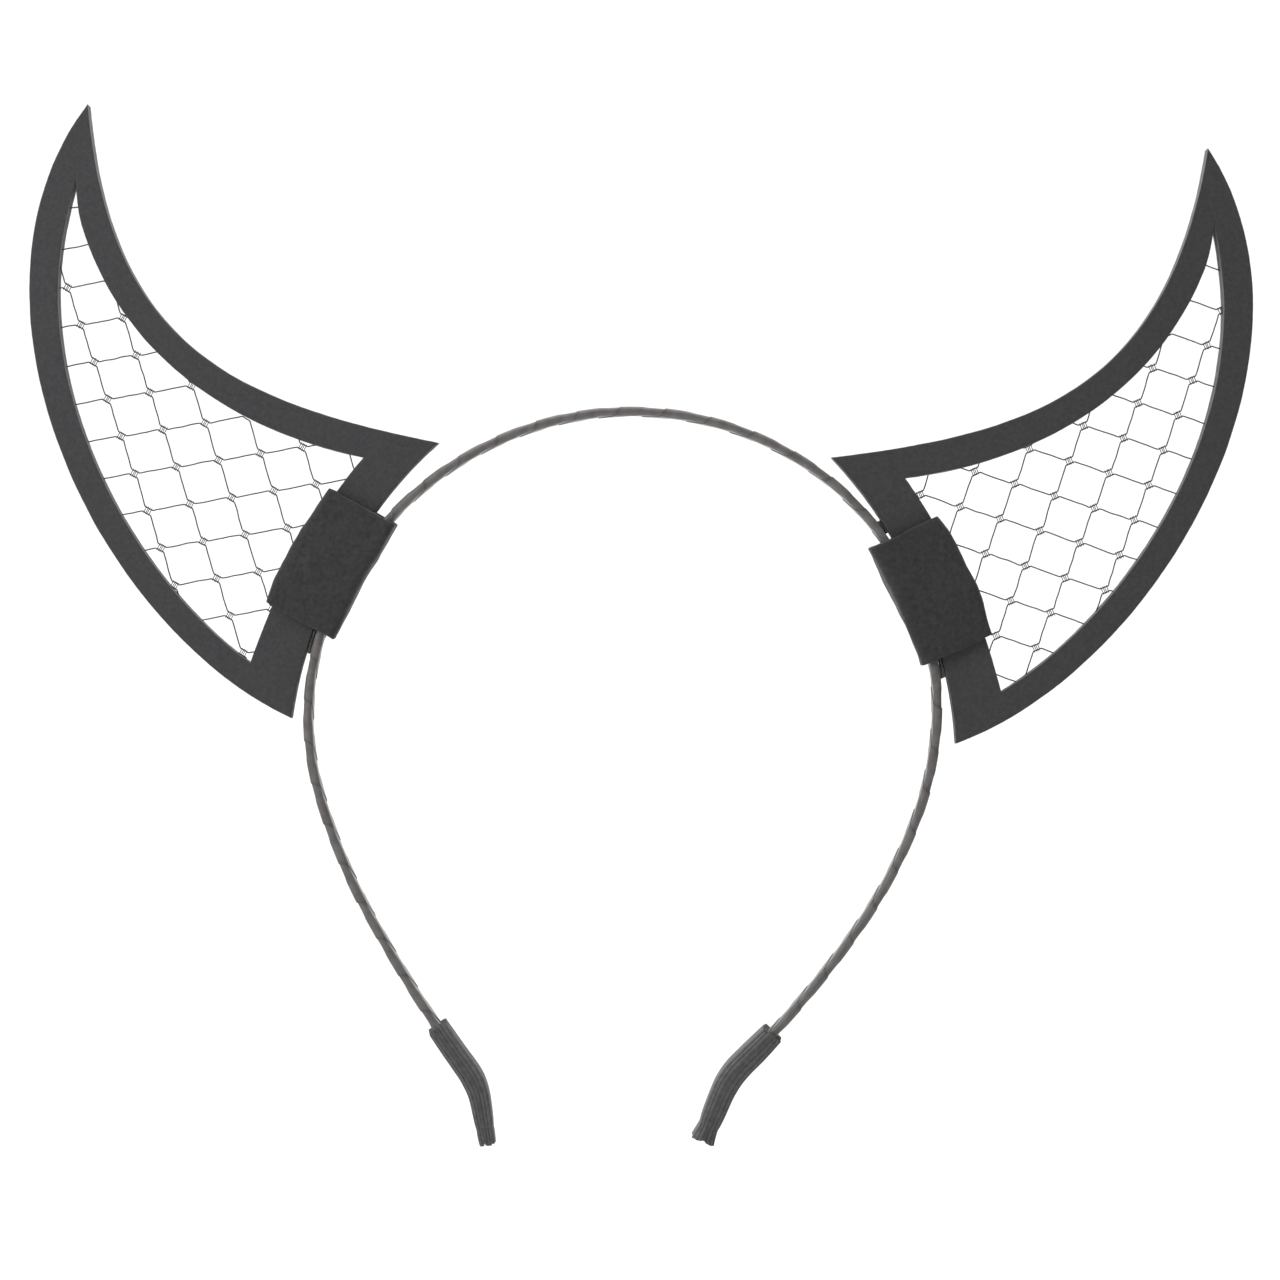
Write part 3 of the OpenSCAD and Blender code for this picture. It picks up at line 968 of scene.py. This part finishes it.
def sleeve(band, side, material):
    """A ribbed fabric tube on a tip of the band, frayed where it was cut."""
    tip, inward, seed = (0, 1, 2.0) if side == "left" else (band.length, -1, 6.0)
    half_out, half_back, radius = (v * MM for v in SLEEVE_SECTION)
    section, outward = round_section(half_out, half_back, radius, **SLEEVE_POINTS)
    around, perimeter = round_shares(section)
    down = np.linspace(0, 1, SLEEVE_ROWS)[:, None]

    fray = waves(around * FRAY[1], seed, 0.4)
    ragged = FRAY[0] * fray + NOTCH[0] * waves(around * NOTCH[1], seed, 3.4)
    top = SLEEVE_L - SLEEVE_OVERHANG + ragged
    bottom = -SLEEVE_OVERHANG + LOWER_FRAY * ragged[::-1]
    distance = tip + inward * (top + (bottom - top) * down)

    ribs = round(perimeter / RIB_W)
    rib = np.abs(np.sin(around * ribs * math.pi + RIB_WAVER * fray)) ** RIB_ROUNDNESS
    rubbed = np.clip(-outward[:, 0], 0, 1) * np.clip(RUBBED_TO - outward[:, 1], 0, 1)
    wrinkle = WRINKLE * waves(down[:, 0] * WRINKLES, seed, 9.0)[:, None]
    crease = CREASE * np.exp(-(((down - CREASE_AT) / CREASE_W) ** 2))
    lift = RIB_H * (rib - 1) + RUBBED * rubbed + wrinkle - crease

    shares, halves = zip(*SLEEVES[side])
    half = np.interp(down, shares, halves) * MM
    half_deep = SLEEVE_FULLNESS * (half + SLEEVE_DEEPER * MM)
    out = section[:, 0] * half / half_out + outward[:, 0] * lift
    back = section[:, 1] * half_deep / half_back + outward[:, 1] * lift
    outer = band.place(distance, out, back)

    hollow, _ = round_section(*(v * MM for v in SLEEVE_HOLLOW), **SLEEVE_POINTS)
    pinch = np.interp(down, *PINCH)
    inner = band.place(distance, hollow[:, 0] * pinch, hollow[:, 1] * np.ones_like(down))

    grid = np.concatenate([outer, inner[::-1]]).transpose(1, 0, 2)
    # Painted shade in the rib grooves, times a duller tone away from the rubbed front of the head side
    tone = np.clip(rib / RIB_LIT, 0, 1) * np.clip(DULL_TONE + RUBBED_TONE * rubbed, 0, 1)
    tone = tone[:, None]
    piece = ring_piece(f"{side}_ribbed_sleeve", grid, material, closed=True, sharp=70, tone=tone)
    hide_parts(f"{side}_tip_sleeve")
    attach(piece, f"{side}_leg")
    return piece


def glue_bead(node, body, material):
    """A frozen bead of hot glue: the wedge it filled, slumped and rounded."""
    mesh = frame["nodes"][node].data.copy()
    mesh.name = f"{node}_bead"
    shell = bmesh.new()
    shell.from_mesh(mesh)
    bmesh.ops.remove_doubles(shell, verts=shell.verts, dist=1e-6)
    shell.to_mesh(mesh)
    shell.free()
    piece = added(mesh.name, mesh)
    remesh = piece.modifiers.new("even", "REMESH")
    remesh.mode = "VOXEL"
    remesh.voxel_size = GLUE_VOXEL
    soften = piece.modifiers.new("soften", "SMOOTH")
    soften.iterations, soften.factor = GLUE_SMOOTHING
    bpy.context.view_layer.update()
    evaluated = piece.evaluated_get(bpy.context.evaluated_depsgraph_get())
    final = bpy.data.meshes.new_from_object(evaluated)
    piece.modifiers.clear()
    piece.data = final
    for v in final.vertices:
        v.co += GLUE_LUMPS * noise.noise_vector(v.co / GLUE_LUMP_SIZE)
    final.materials.clear()
    final.materials.append(material)
    final.shade_smooth()
    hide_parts(node)
    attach(piece, body)
    return piece


# ---- Stage, light and camera ----


def studio_sweep(material):
    """A white paper sweep: a floor below the tips that curves up behind."""
    floor = cad_low.z - SWEEP_BELOW
    profile = [(SWEEP_FRONT, floor)]
    for turn in np.linspace(0, math.pi / 2, SWEEP_STEPS + 1):
        rise = SWEEP_RADIUS * (1 - math.cos(turn))
        profile.append((SWEEP_BACK + SWEEP_RADIUS * math.sin(turn), floor + rise))
    profile.append((SWEEP_BACK + SWEEP_RADIUS, floor + SWEEP_H))
    points = [(x, y, z) for x in (-SWEEP_W / 2, SWEEP_W / 2) for y, z in profile]
    count = len(profile)
    faces = [(k, k + 1, count + k + 1, count + k) for k in range(count - 1)]
    sweep = piece_of("studio_sweep", points, faces, material)


def soft_light(name, place, towards, size, power):
    """A rectangular lamp that faces a point. power is in watts."""
    light = bpy.data.lights.new(name, "AREA")
    light.shape = "RECTANGLE"
    light.size, light.size_y = size
    light.energy = power
    lamp = added(name, light)
    lamp.location = place
    lamp.rotation_euler = (Vector(towards) - Vector(place)).to_track_quat("-Z", "Y").to_euler()


def studio_light():
    """A small key from the upper left, a large top light, and a wash on the backdrop."""
    middle = (0, 0, 0.02)
    soft_light("key", (-0.42, -0.38, 0.3), middle, (0.35, 0.35), 2.1)
    soft_light("top", (-0.1, 0.0, 1.2), middle, (1.2, 0.8), 3)
    soft_light("backdrop", (0, 0.1, 1.5), (0, 1.0, 0.0), (2.0, 0.6), 27)
    world = bpy.data.worlds.new("studio")
    world.use_nodes = True
    background = world.node_tree.nodes["Background"]
    background.inputs["Color"].default_value = (1, 1, 1, 1)
    background.inputs["Strength"].default_value = 0.29
    bpy.context.scene.world = world


def camera():
    """Straight on from the front."""
    middle = (cad_low + cad_high) / 2
    data = bpy.data.cameras.new("camera")
    data.sensor_width = 36
    data.lens = data.sensor_width * VIEW_DISTANCE / VIEW_W
    eye = added("camera", data)
    eye.location = (middle.x + VIEW_OFFSET[0], -VIEW_DISTANCE, middle.z + VIEW_OFFSET[1])
    eye.rotation_euler = (math.pi / 2, 0, 0)
    bpy.context.scene.camera = eye


noise.seed_set(NOISE_SEED)
camera()
studio_light()
studio_sweep(paper_material())
bpy.context.scene.view_settings.view_transform = "Standard"

foam = foam_material()
strap_foam = strap_material()
thread = netting_material()
glue = glue_material()
sleeve_cloth = sleeve_material()

band = Band()
band_pieces(band, ribbon_material(), steel_material())
for side in SIDES:
    horn = Horn(side)
    foam_sheet(horn, "front", foam)
    foam_sheet(horn, "back", foam)
    netting(horn, thread)
    strap(horn, strap_foam)
    sleeve(band, side, sleeve_cloth)
    glue_bead(f"{side}_lower_glue", horn.body, glue)
glue_bead("right_upper_glue", "right_shoulder", glue)
